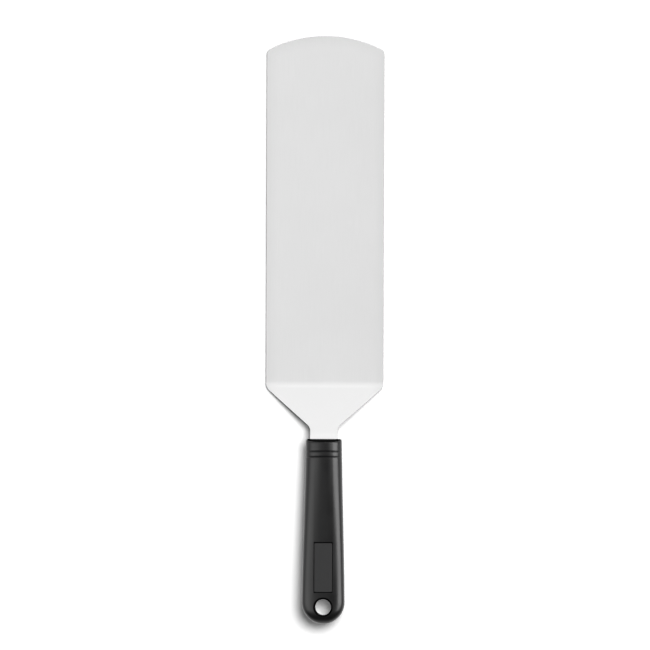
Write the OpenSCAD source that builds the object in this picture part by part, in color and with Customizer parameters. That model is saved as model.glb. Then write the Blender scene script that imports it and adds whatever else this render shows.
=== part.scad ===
// Offset spatula: a flat steel blade, cranked up to a moulded grip with a hanging hole.
// +Y runs to the blade tip, +X to the right, +Z up. The blade lies on z = 0, and the
// origin is under the middle of the whole tool. The steel is one pressing from tip to
// tang. Two core halves clamp the tang, and the grip is moulded round them.

/* [Blade] */
// Length from the blade tip to the butt of the grip, in plan
overall_l = 424; // [410:1:440]
// Flat length of the blade, from its tip to the first bend
blade_l = 250; // [240:1:256]
// Width of the blade
blade_w = 85; // [75:1:95]
// Thickness of the steel sheet
sheet_t = 1.2; // [0.8:0.1:1.6]
// Radius of the curved edge across the tip
tip_r = 89; // [70:1:130]
// Radius of the two corners of the tip
tip_corner_r = 5; // [3:0.5:8]

/* [Crank] */
// Angle at which the crank climbs from the blade
crank_angle = 30; // [26:1:32]
// Inside radius of the bend at the blade
lower_bend_r = 10; // [6:1:12]
// Inside radius of the bend at the grip
upper_bend_r = 20; // [12:1:24]
// Distance from the first bend to the start of the second one, in plan
crank_l = 37; // [35:0.5:38]
// Angle at which the sides close in, in the flat sheet
taper_angle = 45; // [42:1:48]
// Distance from the first bend to the corner where the taper starts, in plan
shoulder_from_bend = 4.7; // [4:0.1:6]
// Radius of that corner
shoulder_r = 7; // [4:0.5:9]
// Radius where the taper runs into the neck
neck_r = 6; // [4:0.5:8]
// Width of the neck
neck_w = 20; // [18:0.5:20]

/* [Tang] */
// Width of the tang inside the core
tang_w = 15; // [13:0.5:16]
// Length of the tang behind the front of the grip
tang_l = 98; // [90:1:100]
// Diameter of the anchor holes in the tang
anchor_hole_d = 6; // [5:0.5:7]
// Number of anchor holes
anchor_holes = 3; // [2:1:4]

/* [Core] */
// Width of the core
core_w = 18.8; // [18:0.2:19]
// Height of the core, both halves together
core_h = 11.6; // [11:0.2:12]
// Edge radius of the core
core_edge_r = 4; // [3:0.5:5]
// Distance from the front of the grip to the front of the core
core_front = 6; // [6:0.5:7]
// Length of the core
core_l = 98; // [96:1:99]
// Depth of the keying grooves around the core
key_depth = 0.8; // [0.5:0.1:1]

/* [Grip] */
// Length of the grip along its own axis
grip_l = 132.9; // [131:0.1:134]
// Angle at which the grip climbs towards its butt
grip_rise = 3; // [2:0.5:4]
// Half width of the grip at its front
front_half_w = 12.9; // [12.3:0.1:13.3]
// Radius of the round butt, and half width of the grip there
butt_r = 15.4; // [14.5:0.1:15.8]
// Half height of the grip at its front
front_half_h = 8.8; // [8.6:0.1:9.2]
// Half height that the curve of the grip leads to at its butt
butt_half_h = 8; // [7.6:0.1:8.6]
// Length over which top and underside roll round the butt
butt_roll = 10; // [8:0.5:12]
// Squareness of the grip's oval section at its front, 2 is a plain ellipse
front_squareness = 2.2; // [2.1:0.1:2.5]
// Squareness that the curve of the grip leads to at its butt
butt_squareness = 3; // [2.7:0.1:3.2]
// Angle by which the front falls back above and below the steel
front_slant = 17; // [12:1:20]
// Radius of the two front corners in plan
front_corner_r = 1.4; // [1:0.1:2]
// Radius of the front edge above and below
front_edge_r = 0.3; // [0.2:0.1:0.8]
// Distance from the front to the middle of the first ring groove
groove_from_front = 9.1; // [8.6:0.1:9.6]
// Distance between the two ring grooves
groove_pitch = 3.8; // [3.5:0.1:4.2]
// Width of a ring groove
groove_w = 1.5; // [1.2:0.1:1.8]
// Depth of a ring groove above and below
groove_depth = 0.7; // [0.5:0.1:0.9]
// Depth of a ring groove at the two sides
groove_side_depth = 0.1; // [0:0.05:0.3]

/* [Hanging hole] */
// Diameter of the hanging hole
hang_d = 11.5; // [10:0.5:12]
// Distance from the butt to the middle of the hole
hang_from_butt = 12; // [11.5:0.1:12.5]
// Half of the straight length of the hole
hang_straight = 7.2; // [6.8:0.1:7.4]

/* [Label plate] */
// Width of the plate
label_w = 12.7; // [10:0.1:13]
// Length of the plate
label_l = 35.2; // [28:0.1:36]
// Thickness of the plate
label_t = 1.2; // [1:0.1:1.4]
// Corner radius of the plate
label_corner_r = 0.8; // [0.5:0.1:1.5]
// Gap all round the plate
label_gap = 0.55; // [0.3:0.05:0.7]
// Distance from the front of the grip to the middle of the plate
label_from_front = 92.5; // [90:0.5:93]
// Height of the plate's face above the middle plane of the grip, at the plate's middle
label_face = 8.9; // [8.8:0.05:9]

/* [Hidden] */
$fn = 96;

// Small distance that carries a cut past a face
past = 0.02;
bend_steps = 8;
section_points = 36;
key_grooves = 4;
key_groove_l = 5;
peg_clearance = 0.1;
peg_reach = 3.4;

// Points along an arc from angle a1 to angle a2
function arc(centre, r, a1, a2, steps) =
    [for (i = [0:steps]) let (a = a1 + (a2 - a1) * i / steps) centre + r * [cos(a), sin(a)]];

// Blade and crank, along y and z in the middle plane
tip_y = overall_l / 2;
bend_y = tip_y - blade_l;
lower_mid_r = lower_bend_r + sheet_t / 2;
upper_mid_r = upper_bend_r + sheet_t / 2;
lower_centre = [bend_y, sheet_t + lower_bend_r];
crank_start = lower_centre - lower_mid_r * [sin(crank_angle), cos(crank_angle)];
crank_run = crank_start.x - (bend_y - crank_l);
crank_end = crank_start + crank_run * [-1, tan(crank_angle)];
upper_centre = crank_end - upper_mid_r * [sin(crank_angle), cos(crank_angle)];
tang_start = upper_centre + upper_mid_r * [sin(grip_rise), cos(grip_rise)];
tang_end = tang_start + tang_l * [-cos(grip_rise), sin(grip_rise)];
tang_skin = sheet_t / 2 * [sin(grip_rise), cos(grip_rise)];
lower_bend = [-90, -90 - crank_angle];
upper_bend = [90 - crank_angle, 90 - grip_rise];
steel_side = concat(
    [[tip_y, 0]],
    arc(lower_centre, lower_bend_r + sheet_t, lower_bend[0], lower_bend[1], bend_steps),
    arc(upper_centre, upper_bend_r, upper_bend[0], upper_bend[1], bend_steps),
    [tang_end - tang_skin, tang_end + tang_skin],
    arc(upper_centre, upper_bend_r + sheet_t, upper_bend[1], upper_bend[0], bend_steps),
    arc(lower_centre, lower_bend_r, lower_bend[1], lower_bend[0], bend_steps),
    [[tip_y, sheet_t]]
);

// Front of the grip on its own axis
front_y = -tip_y + grip_l * cos(grip_rise);
front_z = tang_start.y + (tang_start.x - front_y) * tan(grip_rise);

// Outline of the steel in plan
half_w = blade_w / 2;
neck_half = neck_w / 2;
taper_plan = atan(tan(taper_angle) / cos(crank_angle));
shoulder = [half_w, bend_y - shoulder_from_bend];
neck = [neck_half, shoulder.y - (half_w - neck_half) / tan(taper_plan)];
tip_centre_y = tip_y - tip_r;
tip_corner_angle = acos((half_w - tip_corner_r) / (tip_r - tip_corner_r));
tip_corner = [
    half_w - tip_corner_r,
    tip_centre_y + (tip_r - tip_corner_r) * sin(tip_corner_angle)
];
shoulder_centre = [half_w - shoulder_r, shoulder.y + shoulder_r * tan(taper_plan / 2)];
hollow_centre = [neck_half + neck_r, neck.y - neck_r * tan(taper_plan / 2)];
tang_step = (neck_w - tang_w) / 2;
tang_end_y = front_y - (tang_l - tang_w / 2) * cos(grip_rise);
tang_step_y = front_y - (core_front - tang_step) * cos(grip_rise);

// The right-hand half of the steel in plan, from the tip round to the end of the tang
right_outline = concat(
    arc([0, tip_centre_y], tip_r, 90, tip_corner_angle, 14),
    arc(tip_corner, tip_corner_r, tip_corner_angle - 8, 0, 6),
    arc(shoulder_centre, shoulder_r, 0, -taper_plan, 6),
    arc(hollow_centre, neck_r, 180 - taper_plan, 180, 6),
    [[neck_half, tang_step_y], [tang_w / 2, tang_step_y - tang_step]],
    arc([0, tang_end_y], tang_w / 2, 0, -90, 10)
);

// Places along the grip, measured from its front
butt_centre = grip_l - butt_r;
roll_start = grip_l - butt_roll;
hang_at = grip_l - hang_from_butt;
anchor_first = 20;
anchor_pitch = (tang_l - anchor_first - 12) / (anchor_holes - 1);
groove_middles = [groove_from_front, groove_from_front + groove_pitch];
slant_l = groove_from_front - groove_w;

function bezier(p, t) =
    pow(1 - t, 3) * p[0] + 3 * pow(1 - t, 2) * t * p[1]
    + 3 * (1 - t) * t * t * p[2] + pow(t, 3) * p[3];

half_w_curve = [front_half_w, front_half_w + 0.6, butt_r - 0.5, butt_r];
half_h_curve = [front_half_h, front_half_h + 1.6, butt_half_h + 1.8, butt_half_h];
squareness_curve = [
    front_squareness, front_squareness + 0.4, butt_squareness + 1.3, butt_squareness
];

function round_off(s, l) = s <= 0 ? 1 : sqrt(max(0, 1 - pow(s / l, 2)));

function grip_half_w(d) =
    bezier(half_w_curve, min(1, d / butt_centre)) * round_off(d - butt_centre, butt_r);

function grip_half_h(d) =
    bezier(half_h_curve, d / grip_l) * round_off(d - roll_start, butt_roll);

// How far a rounded front edge of radius r lies inside the grip's outline
function front_round(d, r) = d >= r ? 0 : r - sqrt(r * r - pow(r - d, 2));

// Stations of the grip's sections: [distance from the front, share of the groove's depth]
front_stations = [
    for (d = [0, 0.1, front_edge_r, 0.7, front_corner_r]) [d, 0]
];
groove_stations = [
    for (m = groove_middles, s = [-0.5, -0.12, 0.12, 0.5])
        [m + s * groove_w, abs(s) < 0.5 ? 1 : 0]
];
body_stations = [
    for (i = [1:12]) [18 + (butt_centre - 18) * i / 12, 0]
];
butt_stations = [
    for (a = [12:12:72]) [butt_centre + butt_r * sin(a), 0]
];
last_stations = [
    for (a = [79, 85]) [butt_centre + butt_r * sin(a), 0]
];
stations = concat(
    front_stations, [[slant_l / 2, 0], [slant_l, 0]], groove_stations, [[18, 0]],
    body_stations, butt_stations, last_stations, [[grip_l, 0]]
);

function signed_pow(v, e) = sign(v) * pow(abs(v), e);

function section(d, groove) =
    let (
        side_inset = front_round(d, front_corner_r) + groove * groove_side_depth,
        top_inset = front_round(d, front_edge_r) + groove * groove_depth,
        w = max(0.6, grip_half_w(d) - side_inset),
        h = max(0.5, grip_half_h(d) - top_inset),
        e = 2 / bezier(squareness_curve, d / grip_l),
        slant = tan(front_slant) * max(0, 1 - d / slant_l)
    )
    [
        for (i = [0:section_points - 1])
            let (
                a = 360 * i / section_points,
                x = w * signed_pow(cos(a), e),
                z = h * signed_pow(sin(a), e)
            )
            [x, -d - slant * abs(z), z]
    ];

// A closed shape through the rings; the first one is folded along the middle plane
module loft(rings) {
    n = len(rings[0]);
    last = (len(rings) - 1) * n;
    points = [for (ring = rings) each ring];
    sides = [
        for (j = [0:len(rings) - 2], i = [0:n - 1])
            let (a = j * n + i, b = j * n + (i + 1) % n)
            each [[a, a + n, b], [b, a + n, b + n]]
    ];
    caps = [
        [for (i = [0:n / 2]) i],
        [for (i = [n / 2:n]) i % n],
        [for (i = [n - 1:-1:0]) last + i]
    ];
    polyhedron(points = points, faces = concat(sides, caps));
}

// Moves a shape from the grip's own frame, with its origin on the axis at the front,
// y along the axis and z square to the tang, to its place on the tool
module on_grip() {
    translate([0, front_y, front_z]) rotate([-grip_rise, 0, 0]) children();
}

module rounded_rect(size, r) {
    square([size.x - 2 * r, size.y], center = true);
    square([size.x, size.y - 2 * r], center = true);
    for (x = [-1, 1], y = [-1, 1])
        translate([x * (size.x / 2 - r), y * (size.y / 2 - r)]) circle(r);
}

module steel_outline() {
    left_outline = [
        for (i = [len(right_outline) - 2:-1:1]) [-right_outline[i].x, right_outline[i].y]
    ];
    polygon(concat(right_outline, left_outline));
}

module pressing() {
    intersection() {
        translate([0, 0, -1]) linear_extrude(2 * front_z) steel_outline();
        rotate([90, 0, 90]) linear_extrude(blade_w + 2, center = true) polygon(steel_side);
    }
}

module at_anchors() {
    on_grip()
        for (i = [0:anchor_holes - 1])
            translate([0, -anchor_first - i * anchor_pitch, 0]) children();
}

module blade() {
    color("gainsboro") difference() {
        pressing();
        at_anchors() cylinder(h = 4 * sheet_t, d = anchor_hole_d, center = true);
    }
}

// Outer shape of both core halves together, with grooves that key it to the grip
module core_envelope() {
    key_pitch = core_l / (key_grooves + 1);
    on_grip() translate([0, -core_front, 0]) rotate([90, 0, 0]) difference() {
        linear_extrude(core_l) rounded_rect([core_w, core_h], core_edge_r);
        for (i = [1:key_grooves])
            translate([0, 0, i * key_pitch - key_groove_l / 2])
                linear_extrude(key_groove_l) difference() {
                    square([2 * core_w, 2 * core_h], center = true);
                    rounded_rect(
                        [core_w - 2 * key_depth, core_h - 2 * key_depth],
                        core_edge_r - key_depth
                    );
                }
    }
}

// The half of space above (side = 1) or below (side = -1) the middle of the tang
module half_space(side) {
    on_grip() translate([-core_w, -grip_l, side > 0 ? 0 : -core_w])
        cube([2 * core_w, grip_l, core_w]);
}

module core_half(side) {
    difference() {
        intersection() {
            core_envelope();
            half_space(side);
        }
        pressing();
    }
}

module core_upper() {
    peg_h = peg_reach + sheet_t;
    color("dimgray") union() {
        core_half(1);
        at_anchors() translate([0, 0, -peg_reach])
            cylinder(h = peg_h, d = anchor_hole_d - 2 * peg_clearance);
    }
}

module core_lower() {
    socket_h = peg_reach + 2 * peg_clearance;
    color("slategray") difference() {
        core_half(-1);
        at_anchors() translate([0, 0, -socket_h])
            cylinder(h = socket_h + past, d = anchor_hole_d);
    }
}

// Places the label plate's own frame, z square to its face, origin on its face
module on_label() {
    lean = atan(
        (grip_half_h(label_from_front - label_l / 2)
            - grip_half_h(label_from_front + label_l / 2)) / label_l
    );
    on_grip() translate([0, -label_from_front, label_face]) rotate([lean, 0, 0]) children();
}

module label_pocket() {
    on_label() translate([0, 0, -label_t]) linear_extrude(3 * label_t)
        rounded_rect(
            [label_w + 2 * label_gap, label_l + 2 * label_gap],
            label_corner_r + label_gap
        );
}

// The hanging hole: a straight bore that opens out at both faces
module hang_hole() {
    flare = 3;
    on_grip() translate([0, -hang_at, 0]) {
        cylinder(h = 3 * butt_half_h, d = hang_d, center = true);
        for (side = [0, 1])
            mirror([0, 0, side]) translate([0, 0, hang_straight])
                cylinder(h = flare, d1 = hang_d, d2 = hang_d + 2 * flare);
    }
}

module grip() {
    color("#26272a") difference() {
        on_grip() loft([for (s = stations) section(s[0], s[1])]);
        core_envelope();
        pressing();
        label_pocket();
        hang_hole();
    }
}

module label_plate() {
    color("#46474a") on_label() translate([0, 0, -label_t])
        linear_extrude(label_t) rounded_rect([label_w, label_l], label_corner_r);
}

blade();
core_upper();
core_lower();
grip();
label_plate();
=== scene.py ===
"""Offset spatula: the looks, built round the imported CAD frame.

Metres, +X to the right, +Y to the blade tip, +Z up. The blade rests on z = 0.
A place on the grip is given as (x, d, z): d runs back from the grip's front along its
axis, and z stands square to the flat tang.
"""

import math

import bmesh
import bpy
from mathutils import Matrix, Vector


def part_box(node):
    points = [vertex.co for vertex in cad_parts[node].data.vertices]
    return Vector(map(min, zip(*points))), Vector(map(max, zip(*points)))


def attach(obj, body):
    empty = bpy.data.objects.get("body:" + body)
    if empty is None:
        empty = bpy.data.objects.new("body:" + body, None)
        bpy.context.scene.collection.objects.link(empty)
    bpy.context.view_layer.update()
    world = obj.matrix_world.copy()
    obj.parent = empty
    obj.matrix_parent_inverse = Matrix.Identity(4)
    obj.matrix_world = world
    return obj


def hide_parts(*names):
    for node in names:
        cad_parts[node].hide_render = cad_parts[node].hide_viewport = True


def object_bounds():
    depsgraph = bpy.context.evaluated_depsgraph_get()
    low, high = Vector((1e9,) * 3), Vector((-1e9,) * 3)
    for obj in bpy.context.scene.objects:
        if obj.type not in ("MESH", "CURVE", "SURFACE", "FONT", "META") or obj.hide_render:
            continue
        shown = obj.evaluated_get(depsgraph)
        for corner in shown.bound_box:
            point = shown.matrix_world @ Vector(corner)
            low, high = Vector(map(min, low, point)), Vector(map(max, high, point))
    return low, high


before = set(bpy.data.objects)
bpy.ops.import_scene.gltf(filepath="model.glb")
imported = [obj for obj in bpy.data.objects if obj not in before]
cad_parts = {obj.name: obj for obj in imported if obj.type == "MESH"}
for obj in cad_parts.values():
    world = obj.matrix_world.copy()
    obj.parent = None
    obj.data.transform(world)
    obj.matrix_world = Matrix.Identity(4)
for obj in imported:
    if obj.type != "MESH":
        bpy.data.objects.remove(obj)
cad_low, cad_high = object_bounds()

MM = 0.001

# ---------------------------------------------------------------- driving dimensions

SHEET_T = 1.2 * MM
BLADE_L = 250 * MM
TIP_R = 89 * MM
TIP_CORNER_R = 5 * MM
CRANK_ANGLE = math.radians(30)
LOWER_BEND_R = 10 * MM
UPPER_BEND_R = 20 * MM
CRANK_L = 37 * MM
TAPER_ANGLE = math.radians(45)
SHOULDER_FROM_BEND = 4.7 * MM
SHOULDER_R = 7 * MM
NECK_R = 6 * MM
NECK_W = 20 * MM
TANG_W = 15 * MM
TANG_L = 98 * MM
TANG_STEP_D = 3.5 * MM
ANCHOR_D = 6 * MM
ANCHOR_PLACES = (20 * MM, 53 * MM, 86 * MM)
EDGE_R = 0.22 * MM

GRIP_L = 132.9 * MM
GRIP_RISE = math.radians(3)
HALF_W_CURVE = (12.9 * MM, 13.5 * MM, 14.9 * MM, 15.4 * MM)
HALF_H_CURVE = (8.8 * MM, 10.4 * MM, 9.8 * MM, 8 * MM)
BUTT_R = 15.4 * MM
BUTT_ROLL = 10 * MM
SQUARENESS_CURVE = (2.2, 2.6, 4.3, 3)
FRONT_SLANT = math.radians(17)
FRONT_CORNER_R = 1.4 * MM
FRONT_EDGE_R = 0.3 * MM
GROOVE_PLACES = (9.1 * MM, 12.9 * MM)
GROOVE_W = 1.5 * MM
GROOVE_DEPTH = 0.7 * MM
GROOVE_SIDE_DEPTH = 0.1 * MM
PARTING_DEPTH = 0.08 * MM
PARTING_HALF_W = 0.15 * MM

CORE_FRONT = 6 * MM
CORE_L = 98 * MM
CORE_W = 18.8 * MM
CORE_H = 11.6 * MM
CORE_EDGE_R = 4 * MM
KEY_GROOVES = 4
KEY_GROOVE_L = 5 * MM
KEY_DEPTH = 0.8 * MM

HANG_R = 5.75 * MM
HANG_FLARE = 1.1 * MM
HANG_FROM_BUTT = 12 * MM

LABEL_W = 12.7 * MM
LABEL_L = 35.2 * MM
LABEL_T = 1.2 * MM
LABEL_GAP = 0.55 * MM
LABEL_CORNER_R = 0.8 * MM
LABEL_FROM_FRONT = 92.5 * MM
LABEL_FACE = 8.9 * MM
SOFT_EDGE = 0.3 * MM

# ---------------------------------------------------------------- places worked out

HALF_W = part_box("blade")[1].x
TIP_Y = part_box("blade")[1].y
BEND_Y = TIP_Y - BLADE_L


def on_arc(centre, r, angle):
    """The point on a circle, with the angle in radians."""
    return (centre[0] + r * math.cos(angle), centre[1] + r * math.sin(angle))


def arc(centre, r, a1, a2, steps):
    """Points along an arc from angle a1 to angle a2."""
    return [on_arc(centre, r, a1 + (a2 - a1) * i / steps) for i in range(steps + 1)]


# The middle surface of the steel, in (y, z)
LOWER_MID_R = LOWER_BEND_R + SHEET_T / 2
UPPER_MID_R = UPPER_BEND_R + SHEET_T / 2
LOWER_CENTRE = (BEND_Y, SHEET_T + LOWER_BEND_R)
CRANK_START = on_arc(LOWER_CENTRE, LOWER_MID_R, -math.pi / 2 - CRANK_ANGLE)
CRANK_END_Y = BEND_Y - CRANK_L
CRANK_END = (
    CRANK_END_Y,
    CRANK_START[1] + (CRANK_START[0] - CRANK_END_Y) * math.tan(CRANK_ANGLE),
)
UPPER_CENTRE = on_arc(CRANK_END, UPPER_MID_R, -math.pi / 2 - CRANK_ANGLE)
TANG_START = on_arc(UPPER_CENTRE, UPPER_MID_R, math.pi / 2 - GRIP_RISE)
FRONT_Y = -TIP_Y + GRIP_L * math.cos(GRIP_RISE)
FRONT_Z = TANG_START[1] + (TANG_START[0] - FRONT_Y) * math.tan(GRIP_RISE)

BUTT_CENTRE = GRIP_L - BUTT_R
ROLL_START = GRIP_L - BUTT_ROLL
HANG_AT = GRIP_L - HANG_FROM_BUTT
SLANT_L = GROOVE_PLACES[0] - GROOVE_W


def on_grip(x, d, z):
    """A place on the grip, in the row frame."""
    sin, cos = math.sin(GRIP_RISE), math.cos(GRIP_RISE)
    return Vector((x, FRONT_Y - d * cos + z * sin, FRONT_Z + d * sin + z * cos))


def off_grip(place):
    """The (x, d, z) of a place in the row frame."""
    sin, cos = math.sin(GRIP_RISE), math.cos(GRIP_RISE)
    back, up = FRONT_Y - place.y, place.z - FRONT_Z
    return place.x, back * cos + up * sin, up * cos - back * sin


def bezier(p, t):
    """Cubic curve through four control values, with t from 0 to 1."""
    s = 1 - t
    return s**3 * p[0] + 3 * s * s * t * p[1] + 3 * s * t * t * p[2] + t**3 * p[3]


def round_off(s, length):
    """Share that falls from 1 to 0 as a quarter ellipse over a length."""
    return 1 if s <= 0 else math.sqrt(max(0, 1 - (s / length) ** 2))


def grip_half_w(d):
    """Half width of the grip at d."""
    return bezier(HALF_W_CURVE, min(1, d / BUTT_CENTRE)) * round_off(d - BUTT_CENTRE, BUTT_R)


def grip_half_h(d):
    """Half height of the grip at d."""
    return bezier(HALF_H_CURVE, d / GRIP_L) * round_off(d - ROLL_START, BUTT_ROLL)


def squareness(d):
    """Exponent of the oval section at d: 2 is an ellipse, more is squarer."""
    return bezier(SQUARENESS_CURVE, d / GRIP_L)


def grip_height(x, d):
    """Height of the plain outer surface of the grip over its middle plane."""
    p = squareness(d)
    return grip_half_h(d) * max(0, 1 - (abs(x) / grip_half_w(d)) ** p) ** (1 / p)


# The label plate follows the fall of the grip's top between its two ends
LABEL_LEAN = math.atan(
    (grip_half_h(LABEL_FROM_FRONT - LABEL_L / 2) - grip_half_h(LABEL_FROM_FRONT + LABEL_L / 2))
    / LABEL_L
)

# ---------------------------------------------------------------- mesh helpers


def new_piece(name, bm, stands_for):
    """Turns bm into a piece that rides on the root body and replaces a CAD node."""
    bmesh.ops.recalc_face_normals(bm, faces=bm.faces)
    mesh = bpy.data.meshes.new(name)
    bm.to_mesh(mesh)
    bm.free()
    piece = bpy.data.objects.new(name, mesh)
    bpy.context.scene.collection.objects.link(piece)
    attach(piece, "root")
    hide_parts(stands_for)
    return piece


def cut(piece, bm):
    """Cuts the closed shape bm out of a piece for good."""
    bmesh.ops.recalc_face_normals(bm, faces=bm.faces)
    mesh = bpy.data.meshes.new("cutter")
    bm.to_mesh(mesh)
    bm.free()
    cutter = bpy.data.objects.new("cutter", mesh)
    bpy.context.scene.collection.objects.link(cutter)
    boolean = piece.modifiers.new("cut", "BOOLEAN")
    boolean.operation = "DIFFERENCE"
    boolean.solver = "EXACT"
    boolean.object = cutter
    bpy.context.view_layer.update()
    whole = bpy.data.meshes.new_from_object(
        piece.evaluated_get(bpy.context.evaluated_depsgraph_get())
    )
    piece.modifiers.clear()
    piece.data = whole
    bpy.data.objects.remove(cutter)


def smooth(piece, crease):
    """Smooth shading, with sharp edges where the faces meet at more than crease."""
    bm = bmesh.new()
    bm.from_mesh(piece.data)
    for face in bm.faces:
        face.smooth = True
    for edge in bm.edges:
        edge.smooth = len(edge.link_faces) == 2 and edge.calc_face_angle() < crease
    bm.to_mesh(piece.data)
    bm.free()
    weighted = piece.modifiers.new("weighted", "WEIGHTED_NORMAL")
    weighted.keep_sharp = True
    weighted.weight = 100


def join_rings(bm, rings, closed=True):
    """Faces between rings of vertices that match one another, end to end."""
    count = len(rings[0])
    for low, high in zip(rings, rings[1:]):
        for i in range(count if closed else count - 1):
            j = (i + 1) % count
            corners = [low[i], low[j], high[j], high[i]]
            unique = [v for k, v in enumerate(corners) if v not in corners[:k]]
            if len(unique) > 2:
                bm.faces.new(unique)


def closed_loft(points_by_ring):
    """A closed shape through rings of points, with a flat face at each end."""
    bm = bmesh.new()
    rings = [[bm.verts.new(p) for p in ring] for ring in points_by_ring]
    join_rings(bm, rings)
    bm.faces.new(rings[0])
    bm.faces.new(rings[-1])
    return bm


def rounded_rect(width, height, r, steps=6):
    """Outline of a rectangle with round corners, about the origin."""
    outline = []
    for k, (sx, sy) in enumerate([(1, 1), (-1, 1), (-1, -1), (1, -1)]):
        centre = (sx * (width / 2 - r), sy * (height / 2 - r))
        outline += arc(centre, r, k * math.pi / 2, (k + 1) * math.pi / 2, steps)
    return outline


# ---------------------------------------------------------------- the steel


def steel_at(y):
    """Height and slope of the steel's middle surface at y."""
    if y >= BEND_Y:
        return SHEET_T / 2, 0.0
    if y >= CRANK_START[0]:
        slope = math.asin((BEND_Y - y) / LOWER_MID_R)
        return LOWER_CENTRE[1] - LOWER_MID_R * math.cos(slope), slope
    if y >= CRANK_END[0]:
        return CRANK_START[1] + (CRANK_START[0] - y) * math.tan(CRANK_ANGLE), CRANK_ANGLE
    if y >= TANG_START[0]:
        slope = math.asin((y - UPPER_CENTRE[0]) / UPPER_MID_R)
        return UPPER_CENTRE[1] + UPPER_MID_R * math.cos(slope), slope
    return TANG_START[1] + (TANG_START[0] - y) * math.tan(GRIP_RISE), GRIP_RISE


def steel_outline():
    """The right-hand edge of the steel in plan, from the tip round to the tang's end."""
    plan = math.atan(math.tan(TAPER_ANGLE) / math.cos(CRANK_ANGLE))
    tip_centre = (0, TIP_Y - TIP_R)
    tip_angle = math.acos((HALF_W - TIP_CORNER_R) / (TIP_R - TIP_CORNER_R))
    tip_corner = on_arc(tip_centre, TIP_R - TIP_CORNER_R, tip_angle)
    shoulder_y = BEND_Y - SHOULDER_FROM_BEND
    neck_y = shoulder_y - (HALF_W - NECK_W / 2) / math.tan(plan)
    shoulder = (HALF_W - SHOULDER_R, shoulder_y + SHOULDER_R * math.tan(plan / 2))
    hollow = (NECK_W / 2 + NECK_R, neck_y - NECK_R * math.tan(plan / 2))
    step_y = FRONT_Y - TANG_STEP_D * math.cos(GRIP_RISE)
    end_y = FRONT_Y - (TANG_L - TANG_W / 2) * math.cos(GRIP_RISE)
    step = (NECK_W - TANG_W) / 2
    return (
        arc(tip_centre, TIP_R, math.pi / 2, tip_angle, 30)
        + arc(tip_corner, TIP_CORNER_R, tip_angle, 0, 16)[1:]
        + arc(shoulder, SHOULDER_R, 0, -plan, 14)
        + arc(hollow, NECK_R, math.pi - plan, math.pi, 14)
        + [(NECK_W / 2, step_y), (TANG_W / 2, step_y - step)]
        + arc((0, end_y), TANG_W / 2, 0, -math.pi / 2, 16)
    )


def with_bend_rows(outline, rows=22):
    """Adds points to the outline, so that both bends are divided finely."""
    lower, upper = (BEND_Y, CRANK_START[0]), (CRANK_END[0], TANG_START[0])
    wanted = [a + (b - a) * i / rows for a, b in (lower, upper) for i in range(rows + 1)]
    points = [outline[0]]
    for (x1, y1), (x2, y2) in zip(outline, outline[1:]):
        for y in wanted:
            if y1 - 0.1 * MM > y > y2 + 0.1 * MM:
                points.append((x1 + (x2 - x1) * (y1 - y) / (y1 - y2), y))
        points.append((x2, y2))
    return points


def steel_mesh():
    """The pressing: flat faces joined by a rounded edge that runs all round it."""
    right = with_bend_rows(steel_outline())
    outline = right + [(-x, y) for x, y in right[-2:0:-1]]
    middle = [Vector((x, y, steel_at(y)[0])) for x, y in outline]
    count = len(outline)
    quarter = [i * math.pi / 8 for i in range(5)]
    section = [
        (EDGE_R * (math.sin(a) - 1), SHEET_T / 2 - EDGE_R * (1 - math.cos(a))) for a in quarter
    ]
    section += [(out, -up) for out, up in reversed(section)]
    bm = bmesh.new()
    rings = [[] for _ in section]
    for i, (x, y) in enumerate(outline):
        slope = steel_at(y)[1]
        up = Vector((0, math.sin(slope), math.cos(slope)))
        along = middle[(i + 1) % count] - middle[i - 1]
        out = up.cross(along).normalized()
        for ring, (offset, height) in zip(rings, section):
            ring.append(bm.verts.new(middle[i] + offset * out + height * up))
    join_rings(bm, rings)
    half = count // 2
    for ring in (rings[0], rings[-1]):
        across = [[ring[i], ring[-i % count]] for i in range(half + 1)]
        join_rings(bm, across, closed=False)
    return bm


def anchor_drill(d):
    """Cutter for the tang's anchor hole at d."""
    ring = arc((0, d), ANCHOR_D / 2, 0, 2 * math.pi, 48)[:-1]
    return closed_loft([[on_grip(x, at, z) for x, at in ring] for z in (-2 * MM, 2 * MM)])


def make_blade():
    """The steel, with its anchor holes drilled."""
    blade = new_piece("blade_sheet", steel_mesh(), "blade")
    for d in ANCHOR_PLACES:
        cut(blade, anchor_drill(d))
    smooth(blade, math.radians(40))
    return blade


# ---------------------------------------------------------------- the grip

# Half the width and half the length of the label's pocket
POCKET_W = LABEL_W / 2 + LABEL_GAP
POCKET_L = LABEL_L / 2 + LABEL_GAP
WALL_DRAFT = 0.05 * MM
SIDE_COLUMNS = 22
SIDE_CROWDING = 1.6
SOFT_STEPS = [SOFT_EDGE * s for s in (1, 0.62, 0.29, 0.08, 0)]
# From PATCH_START on, a band follows the butt's outline and rings run round the hole
PATCH_START = 112 * MM
BAND_W = 3 * MM
PATCH_RINGS = 12


def label_height(d, depth):
    """Height of a plane that lies depth below the label plate's face, at d."""
    drop = depth / math.cos(LABEL_LEAN) + (d - LABEL_FROM_FRONT) * math.tan(LABEL_LEAN)
    return LABEL_FACE - drop


def soft_drop(distance, r):
    """How far an edge of radius r lies below its face, at a distance from the edge."""
    if distance >= r:
        return 0
    return r - math.sqrt(max(0, r * r - (r - distance) ** 2))


def pocketed(x, d, z):
    """Height of the top of the grip, with the pocket for the label plate sunk in it."""
    side, end = abs(x) - POCKET_W, abs(d - LABEL_FROM_FRONT) - POCKET_L
    outside = max(side, end)
    if side > 0 and end > 0:
        outside = math.hypot(side, end)
    if outside < -WALL_DRAFT / 2:
        return label_height(d, LABEL_T)
    return z - soft_drop(outside, SOFT_EDGE)


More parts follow.
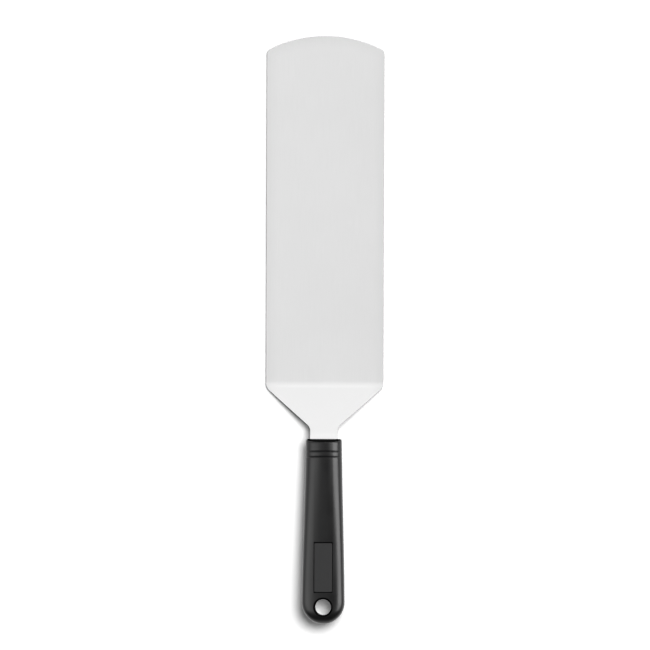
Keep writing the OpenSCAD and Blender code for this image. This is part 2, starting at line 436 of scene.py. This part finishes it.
def section_columns(d, groove):
    """Half of the grip's oval section, from its side (z = 0) up to its middle (x = 0)."""
    w = grip_half_w(d) - soft_drop(d, FRONT_CORNER_R) - groove * GROOVE_SIDE_DEPTH
    h = grip_half_h(d) - soft_drop(d, FRONT_EDGE_R) - groove * GROOVE_DEPTH
    p = squareness(d)
    shelf = POCKET_W + 1.2 * MM
    first = math.acos((shelf / w) ** (p / 2))
    lip = (1 - (PARTING_HALF_W / h) ** p) ** (1 / p)
    points = [(w - PARTING_DEPTH, 0), (w * lip, PARTING_HALF_W)]
    for k in range(1, SIDE_COLUMNS):
        a = first * (k / SIDE_COLUMNS) ** SIDE_CROWDING
        points.append((w * math.cos(a) ** (2 / p), h * math.sin(a) ** (2 / p)))
    # Across the top: beside the pocket, over its soft edge, down its wall, along its floor
    across = [shelf, POCKET_W + 0.6 * MM] + [POCKET_W + s for s in SOFT_STEPS]
    across += [POCKET_W - WALL_DRAFT, POCKET_W - 0.5 * MM, 4.8 * MM, 3.2 * MM, 1.6 * MM, 0]
    return points + [(x, h * (1 - (x / w) ** p) ** (1 / p)) for x in across]


def grip_stations():
    """[distance from the front, share of the groove's depth] of every section."""
    # The rounded front, the grooves, the long plain stretch, then the label's pocket
    plain = [FRONT_EDGE_R * s for s in (0, 0.08, 0.3, 0.6, 1)]
    plain += [FRONT_CORNER_R * s for s in (0.35, 0.5, 0.75, 1)]
    plain += [2.2 * MM, 3.6 * MM, 5.2 * MM, SLANT_L]
    plain += [15 * MM + i * 2.9 * MM for i in range(21)]
    grooves = [
        (middle + s * GROOVE_W / 16, (1 + math.cos(math.pi * s / 8)) / 2)
        for middle in GROOVE_PLACES
        for s in range(-8, 9)
    ]
    front, back = LABEL_FROM_FRONT - POCKET_L, LABEL_FROM_FRONT + POCKET_L
    plain += [front - s for s in SOFT_STEPS] + [front + WALL_DRAFT]
    plain += [back - WALL_DRAFT] + [back + s for s in SOFT_STEPS]
    plain += [front + (back - front) * i / 12 for i in range(1, 12)]
    plain += [back + 0.9 * MM, PATCH_START]
    return sorted([(d, 0) for d in plain] + grooves)


def grip_section(d, groove):
    """One ring of the grip: over the top from +x to -x, then back underneath."""
    half = section_columns(d, groove)
    top = [(x, pocketed(x, d, z)) for x, z in half]
    over = top + [(-x, z) for x, z in top[-2::-1]]
    under = [(-x, -z) for x, z in half[1:]] + [(x, -z) for x, z in half[-2:0:-1]]
    slant = math.tan(FRONT_SLANT) * max(0, 1 - d / SLANT_L)
    return [(x, d + slant * abs(z), z) for x, z in over + under]


# The rim of the hanging hole, outwards: [distance from the bore's wall, drop] as shares
FLARE_SHAPE = (
    (0, 1.22), (0.014, 1.1), (0.055, 1), (0.13, 0.9),
    (0.9, 0.13), (0.96, 0.06), (1.05, 0.018), (1.14, 0),
)
FLARE_EDGE = HANG_R + FLARE_SHAPE[-1][0] * HANG_FLARE


def flare_profile():
    """[radius, drop below the surface] of the rings round the hole's rim."""
    return [(HANG_R + out * HANG_FLARE, drop * HANG_FLARE) for out, drop in FLARE_SHAPE]


def butt_columns():
    """[place on the butt's outline in plan, direction inwards] from +x round to -x."""
    steps = 6
    side = [PATCH_START + (BUTT_CENTRE - PATCH_START) * i / steps for i in range(1, steps)]
    right = [((grip_half_w(d), d), (-1, 0)) for d in side]
    left = [((-x, d), (1, 0)) for (x, d), _ in reversed(right)]
    angles = [math.pi * i / 60 for i in range(61)]
    cap = [
        (on_arc((0, BUTT_CENTRE), BUTT_R, a), (-math.cos(a), -math.sin(a))) for a in angles
    ]
    return right + cap + left


def surface(x, d, side, drop=0):
    """A point on the grip's top (side = 1) or underside (-1), or below it by drop."""
    return (x, d, side * (grip_height(x, d) - drop))


def from_hole(x, d, radius, side, drop=0):
    """The surface point at a distance from the hole's axis, in the direction of (x, d)."""
    share = radius / math.hypot(x, d - HANG_AT)
    return surface(x * share, HANG_AT + (d - HANG_AT) * share, side, drop)


def towards(x, d, share, side):
    """A surface point part of the way from the hole's rim to (x, d)."""
    away = math.hypot(x, d - HANG_AT)
    return from_hole(x, d, FLARE_EDGE + (away - FLARE_EDGE) * share, side)


def add_butt(bm, place, last):
    """The butt with its hanging hole, from the last section's ring of vertices."""
    half = len(last) // 2
    across = [x for x, _ in section_columns(PATCH_START, 0)]
    rows = [grip_half_w(PATCH_START) - x for x in across]
    rows = [t for t in rows if t < BAND_W]
    inside = len(rows) - 1
    inner = across[inside:]
    columns = butt_columns()

    def along(t):
        return [(x + t * nx, d + t * nd) for (x, d), (nx, nd) in columns]

    edge = [(x, PATCH_START) for x in inner + [-x for x in inner[-2::-1]]]
    edge += along(rows[-1])[::-1]
    parting = place([(x, d, 0) for x, d in along(rows[0])])
    walls = []
    for side, ring in ((1, last[: half + 1]), (-1, last[:1] + last[: half - 1 : -1])):
        band = [parting] + [place([surface(x, d, side) for x, d in along(t)]) for t in rows[1:]]
        ends = zip(ring, band, reversed(ring))
        join_rings(bm, [[start, *row, stop] for start, row, stop in ends], closed=False)
        rings = [
            place([from_hole(x, d, radius, side, drop) for x, d in edge])
            for radius, drop in flare_profile()
        ]
        for i in range(1, PATCH_RINGS):
            rings.append(place([towards(x, d, i / PATCH_RINGS, side) for x, d in edge]))
        rings.append(ring[inside : half - inside + 1] + band[-1][::-1])
        join_rings(bm, rings)
        walls.append(rings[0])
    join_rings(bm, walls)


def grip_mesh():
    """The moulding as a closed shape, before its inside is cut out."""
    bm = bmesh.new()

    def place(points):
        return [bm.verts.new(on_grip(*p)) for p in points]

    rings = [place(grip_section(d, groove)) for d, groove in grip_stations()]
    join_rings(bm, rings)
    half = len(rings[0]) // 2
    bm.faces.new(rings[0][: half + 1])
    bm.faces.new(rings[0][half:] + rings[0][:1])
    add_butt(bm, place, rings[-1])
    return bm


def core_space():
    """The shape of both core halves together, with the grooves that key them in."""
    pitch = CORE_L / (KEY_GROOVES + 1)
    steps = [(0, 0)]
    for i in range(1, KEY_GROOVES + 1):
        start, stop = i * pitch - KEY_GROOVE_L / 2, i * pitch + KEY_GROOVE_L / 2
        steps += [(start, 0), (start, KEY_DEPTH), (stop, KEY_DEPTH), (stop, 0)]
    steps.append((CORE_L, 0))
    rings = []
    for at, inset in steps:
        outline = rounded_rect(CORE_W - 2 * inset, CORE_H - 2 * inset, CORE_EDGE_R - inset)
        rings.append([on_grip(x, CORE_FRONT + at, z) for x, z in outline])
    return closed_loft(rings)


def in_painted_shade(face):
    """True for the front, the hanging hole and the label's pocket: the faces that get the
    painted shade.
    """
    x, d, z = off_grip(face.center)
    on_front = d < 3 * MM and face.normal.y > 0.9
    in_hole = math.hypot(x, d - HANG_AT) < FLARE_EDGE
    in_pocket = max(abs(x) - POCKET_W, abs(d - LABEL_FROM_FRONT) - POCKET_L) < 0 < z
    return on_front or in_hole or in_pocket


def make_grip():
    """The moulding, cut to fit the core and the tang, with painted shade on its front, hanging
    hole and label pocket.
    """
    grip = new_piece("grip_moulding", grip_mesh(), "grip")
    cut(grip, core_space())
    cut(grip, steel_mesh())
    smooth(grip, math.radians(32))
    grip.data.materials.append(grip_material())
    # The second material is painted shade: a darker copy of the plastic with almost no
    # reflection
    grip.data.materials.append(painted_shade_material())
    for face in grip.data.polygons:
        face.material_index = int(in_painted_shade(face))
    return grip


def make_label():
    """The label plate, with soft top edges and a blank face."""
    soft = [math.pi / 2 * i / 5 for i in range(6)]
    levels = [(SOFT_EDGE * (1 - math.cos(a)), SOFT_EDGE * (1 - math.sin(a))) for a in soft]
    rings = []
    for inset, depth in [(0, LABEL_T)] + levels:
        outline = rounded_rect(LABEL_W - 2 * inset, LABEL_L - 2 * inset, LABEL_CORNER_R - inset)
        ring = []
        for x, along in outline:
            d = LABEL_FROM_FRONT + along
            ring.append(on_grip(x, d, label_height(d, depth)))
        rings.append(ring)
    label = new_piece("label_inlay", closed_loft(rings), "label_plate")
    smooth(label, math.radians(40))
    return label


# ---------------------------------------------------------------- materials


class Nodes:
    """Short ways to build a material's node tree."""

    def __init__(self, name, **constants):
        self.material = bpy.data.materials.new(name)
        self.material.use_nodes = True
        self.tree = self.material.node_tree
        self.shader = self.tree.nodes["Principled BSDF"]
        for socket, value in constants.items():
            self.shader.inputs[socket.replace("_", " ")].default_value = value
        self.place = self.add("ShaderNodeTexCoord").outputs["Object"]

    def add(self, kind, **settings):
        node = self.tree.nodes.new(kind)
        for key, value in settings.items():
            setattr(node, key, value)
        return node

    def link(self, source, socket):
        self.tree.links.new(source, socket)

    def noise(self, scale, detail=2.0, roughness=0.5, stretch=(1, 1, 1)):
        """Noise with `scale` features per metre, drawn out by stretch."""
        mapping = self.add("ShaderNodeMapping")
        mapping.inputs["Scale"].default_value = stretch
        self.link(self.place, mapping.inputs["Vector"])
        node = self.add("ShaderNodeTexNoise")
        node.inputs["Scale"].default_value = scale
        node.inputs["Detail"].default_value = detail
        node.inputs["Roughness"].default_value = roughness
        self.link(mapping.outputs["Vector"], node.inputs["Vector"])
        return node.outputs["Fac"]

    def spread(self, value, low, high, start=0.0, stop=1.0):
        """Maps start..stop of a value to low..high."""
        node = self.add("ShaderNodeMapRange")
        for key, number in (
            ("From Min", start), ("From Max", stop), ("To Min", low), ("To Max", high)
        ):
            node.inputs[key].default_value = number
        self.link(value, node.inputs["Value"])
        return node.outputs["Result"]

    def math(self, operation, a, b):
        node = self.add("ShaderNodeMath", operation=operation)
        for socket, value in zip(node.inputs, (a, b)):
            if isinstance(value, (int, float)):
                socket.default_value = value
            else:
                self.link(value, socket)
        return node.outputs["Value"]

    def colours(self, factor, dark, light):
        node = self.add("ShaderNodeMix", data_type="RGBA")
        self.link(factor, node.inputs["Factor"])
        node.inputs["A"].default_value = (*dark, 1)
        node.inputs["B"].default_value = (*light, 1)
        self.link(node.outputs["Result"], self.shader.inputs["Base Color"])

    def roughness(self, value):
        self.link(value, self.shader.inputs["Roughness"])

    def bump(self, height, distance, strength=1.0):
        node = self.add("ShaderNodeBump")
        node.inputs["Distance"].default_value = distance
        node.inputs["Strength"].default_value = strength
        self.link(height, node.inputs["Height"])
        self.link(node.outputs["Normal"], self.shader.inputs["Normal"])


def from_blade_edge(n):
    """Distance from the blade's nearest side, or from the arc of its tip."""
    place = n.add("ShaderNodeSeparateXYZ")
    n.link(n.place, place.inputs["Vector"])
    across = place.outputs["X"]
    from_side = n.math("SUBTRACT", HALF_W, n.math("ABSOLUTE", across, 0))
    along = n.math("SUBTRACT", place.outputs["Y"], TIP_Y - TIP_R)
    squares = n.math("ADD", n.math("MULTIPLY", across, across), n.math("MULTIPLY", along, along))
    from_tip = n.math("SUBTRACT", TIP_R, n.math("SQRT", squares, 0))
    # Behind the arc's centre the tip is out of play: a metre away there, 0 in front of it
    behind_tip = n.spread(along, 1, 0, 0, 1 * MM)
    return n.math("MINIMUM", from_side, n.math("MAXIMUM", from_tip, behind_tip))


def steel_material():
    """Satin stainless: fine brushing along the tool, wiped clouds, blade edges worn dull."""
    n = Nodes("satin_steel", Metallic=1.0)
    brush = n.noise(1.0, 3.0, 0.65, stretch=(4200, 45, 4200))
    clouds = n.noise(14, 3.0, 0.5)
    mix = n.math("ADD", n.spread(brush, 0, 0.6, 0.25, 0.75), n.spread(clouds, 0, 0.4, 0.3, 0.7))
    n.colours(mix, (0.66, 0.66, 0.66), (0.73, 0.73, 0.73))
    worn = n.spread(from_blade_edge(n), 0.11, 0.0, 0.5 * MM, 8 * MM)
    n.roughness(n.math("ADD", n.spread(mix, 0.45, 0.55), worn))
    n.bump(brush, 0.02 * MM, 0.5)
    return n.material


def grip_material():
    """Black polypropylene: a soft satin skin with a fine moulded grain."""
    n = Nodes("black_polypropylene", IOR=1.42)
    grain = n.noise(2600, 2.0, 0.6)
    handling = n.noise(55, 4.0, 0.6)
    n.colours(handling, (0.0020, 0.0020, 0.0021), (0.0036, 0.0036, 0.0038))
    n.roughness(n.spread(handling, 0.28, 0.34, 0.3, 0.7))
    n.bump(grain, 0.012 * MM, 0.5)
    return n.material


def painted_shade_material():
    """Painted shade: a darker, rough copy of the plastic with almost no reflection, for the
    front, the hanging hole and the label's pocket.
    """
    n = Nodes("painted_shade_polypropylene", IOR=1.42, Specular_IOR_Level=0.02)
    grain = n.noise(3200, 2.0, 0.6)
    # Painted shade: darker than the grip's own black, with the reflection turned nearly off
    n.colours(grain, (0.0014, 0.0014, 0.0015), (0.0024, 0.0024, 0.0025))
    n.roughness(n.spread(grain, 0.8, 0.95))
    n.bump(grain, 0.03 * MM, 0.5)
    return n.material


def label_material():
    """The same plastic with a finely etched, matte face."""
    n = Nodes("etched_label", IOR=1.42)
    etch = n.noise(5200, 3.0, 0.7)
    n.colours(etch, (0.0062, 0.0062, 0.0065), (0.0096, 0.0096, 0.0100))
    n.roughness(n.spread(etch, 0.50, 0.58))
    n.bump(etch, 0.02 * MM, 0.6)
    return n.material


def core_material():
    """Dark grey glass-filled nylon, with faint flow marks."""
    n = Nodes("glass_filled_nylon", IOR=1.53)
    flow = n.noise(90, 4.0, 0.6, stretch=(3, 0.6, 3))
    fibres = n.noise(1.0, 2.0, 0.5, stretch=(6000, 900, 6000))
    n.colours(flow, (0.030, 0.030, 0.032), (0.050, 0.050, 0.053))
    n.roughness(n.spread(fibres, 0.48, 0.62))
    n.bump(fibres, 0.02 * MM, 0.5)
    return n.material


def floor_material():
    """Matte grey paper, which the floor lamp lights up to white."""
    n = Nodes("floor_paper")
    tone = n.noise(3, 2.0, 0.5)
    n.colours(tone, (0.115, 0.115, 0.115), (0.122, 0.122, 0.122))
    n.shader.inputs["Roughness"].default_value = 0.9
    n.shader.inputs["Specular IOR Level"].default_value = 0.1
    return n.material


def paint(piece, material):
    """Gives a piece one material in place of any other."""
    piece.data.materials.clear()
    piece.data.materials.append(material)


# ---------------------------------------------------------------- the studio

CAMERA_AWAY = 3.5
CAMERA_TILT = math.radians(1.2)
CAMERA_PITCH = math.radians(-0.58)
CAMERA_ROLL = math.radians(0.2)
FRAME_WIDTH = 0.4711
CAMERA_REACH = 50
AIM = Vector((0.04 * MM, 2.65 * MM, SHEET_T))

# The floor stands a little below the blade, so that the blade has a shadow too
FLOOR_DROP = 3 * MM
FLOOR_SIZE = 40

# The room, by direction: axis, where a fade starts and stops on it, and its two values
WALL_TO_CEILING = ("Z", 0.80, 0.97, 1.02, 0.18)
LEFT_WALL = ("X", 0.08, -0.45, 0, 2.1)
LEFT_WALL_END = ("Y", 0.10, 0.38, 1, 0)
WALL_FOOT = ("Z", 0.10, 0.65, 0.3, 1)
TIP_WALL = ("Y", 0.15, 0.85, 1, 1.85)
BUTT_WALL = ("Y", -0.10, -0.60, 1, 0.05)

# The soft boxes, turned from +X towards +Y and then up, in degrees
LIGHT_AWAY = 2.0
KEY_BOX = {"turn": 8, "height": 38, "size": (1.8, 1.46), "radiance": 6.3}
STEEL_BOX = {"turn": 90, "height": 88, "size": (1.5, 1.5), "radiance": 0.54}

# The floor lamp: as much light as a whole sky of this radiance, from a disc whose half
# angle is the spread
FLOOR_LIGHT = 8.2
LAMP_TURN = math.radians(38)
LAMP_LEAN = math.radians(9.4)
LAMP_SPREAD = math.radians(8)


def add_camera():
    """A long lens straight above the tool, which fills the frame from tip to butt."""
    data = bpy.data.cameras.new("camera")
    camera = bpy.data.objects.new("camera", data)
    bpy.context.scene.collection.objects.link(camera)
    data.sensor_width = 36
    data.lens = data.sensor_width * CAMERA_AWAY / FRAME_WIDTH
    data.clip_end = CAMERA_REACH
    turn = Matrix.Rotation(CAMERA_TILT, 4, "Y")
    turn @= Matrix.Rotation(CAMERA_PITCH, 4, "X")
    turn @= Matrix.Rotation(CAMERA_ROLL, 4, "Z")
    camera.matrix_world = (
        Matrix.Translation(AIM) @ turn @ Matrix.Translation((0, 0, CAMERA_AWAY))
    )
    bpy.context.scene.camera = camera


def add_floor():
    """A wide sheet of paper just under the blade."""
    bm = bmesh.new()
    half = FLOOR_SIZE / 2
    corners = [(-half, -half), (half, -half), (half, half), (-half, half)]
    bm.faces.new([bm.verts.new((x, y, cad_low.z - FLOOR_DROP)) for x, y in corners])
    mesh = bpy.data.meshes.new("floor")
    bm.to_mesh(mesh)
    bm.free()
    floor = bpy.data.objects.new("floor", mesh)
    bpy.context.scene.collection.objects.link(floor)
    paint(floor, floor_material())
    return floor


def add_softbox(name, turn, height, size, radiance):
    """A soft box that looks at the tool from the given direction."""
    data = bpy.data.lights.new(name, "AREA")
    data.shape = "RECTANGLE"
    data.size, data.size_y = size
    data.energy = radiance * math.pi * size[0] * size[1]
    box = bpy.data.objects.new(name, data)
    bpy.context.scene.collection.objects.link(box)
    turn, height = math.radians(turn), math.radians(height)
    back = Vector(
        (math.cos(turn) * math.cos(height), math.sin(turn) * math.cos(height), math.sin(height))
    )
    box.location = back * LIGHT_AWAY
    box.rotation_mode = "QUATERNION"
    box.rotation_quaternion = back.to_track_quat("Z", "Y")
    box.visible_camera = False
    return box


def flag(light, thing, state):
    """Lets a light reach only one thing ("INCLUDE"), or everything but it ("EXCLUDE")."""
    flagged = bpy.data.collections.new(light.name + "_flag")
    flagged.objects.link(thing)
    flagged.collection_objects[0].light_linking.link_state = state
    light.light_linking.receiver_collection = flagged


def add_floor_lamp(floor):
    """A round lamp almost overhead that lights only the floor, for a short soft shadow."""
    data = bpy.data.lights.new("floor_lamp", "AREA")
    data.shape = "DISK"
    data.size = 2 * LIGHT_AWAY * math.tan(LAMP_SPREAD)
    data.energy = FLOOR_LIGHT * math.pi * (math.pi * data.size**2 / 4)
    data.energy /= math.sin(LAMP_SPREAD) ** 2
    lamp = bpy.data.objects.new("floor_lamp", data)
    bpy.context.scene.collection.objects.link(lamp)
    lamp.matrix_world = (
        Matrix.Rotation(LAMP_TURN, 4, "Z")
        @ Matrix.Rotation(LAMP_LEAN, 4, "Y")
        @ Matrix.Translation((0, 0, LIGHT_AWAY))
    )
    lamp.visible_camera = False
    flag(lamp, floor, "INCLUDE")


def add_world():
    """Walls under a dim ceiling, brightest on the left and darkest behind the butt."""
    world = bpy.data.worlds.new("studio")
    bpy.context.scene.world = world
    world.use_nodes = True
    tree = world.node_tree
    place = tree.nodes.new("ShaderNodeTexCoord")
    split = tree.nodes.new("ShaderNodeSeparateXYZ")
    tree.links.new(place.outputs["Generated"], split.inputs["Vector"])

    def fade(axis, start, stop, first, last):
        node = tree.nodes.new("ShaderNodeMapRange")
        node.interpolation_type = "SMOOTHSTEP"
        numbers = {"From Min": start, "From Max": stop, "To Min": first, "To Max": last}
        for key, value in numbers.items():
            node.inputs[key].default_value = value
        tree.links.new(split.outputs[axis], node.inputs["Value"])
        return node.outputs["Result"]

    def combine(operation, a, b):
        node = tree.nodes.new("ShaderNodeMath")
        node.operation = operation
        tree.links.new(a, node.inputs[0])
        tree.links.new(b, node.inputs[1])
        return node.outputs["Value"]

    left = combine("MULTIPLY", fade(*LEFT_WALL), fade(*LEFT_WALL_END))
    light = combine("ADD", fade(*WALL_TO_CEILING), left)
    for share in (WALL_FOOT, TIP_WALL, BUTT_WALL):
        light = combine("MULTIPLY", light, fade(*share))
    background = tree.nodes["Background"]
    background.inputs["Color"].default_value = (1, 1, 1, 1)
    tree.links.new(light, background.inputs["Strength"])


def light_studio(floor, blade):
    """The room, a key on the right for the grip, and a light of its own for the steel."""
    bpy.context.scene.view_settings.view_transform = "Standard"
    add_world()
    flag(add_softbox("key_box", **KEY_BOX), blade, "EXCLUDE")
    flag(add_softbox("steel_box", **STEEL_BOX), blade, "INCLUDE")
    add_floor_lamp(floor)


# ---------------------------------------------------------------- put together

add_camera()
blade = make_blade()
grip = make_grip()
label = make_label()

paint(blade, steel_material())
paint(label, label_material())
nylon = core_material()
for name in ("core_upper", "core_lower"):
    paint(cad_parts[name], nylon)

light_studio(add_floor(), blade)
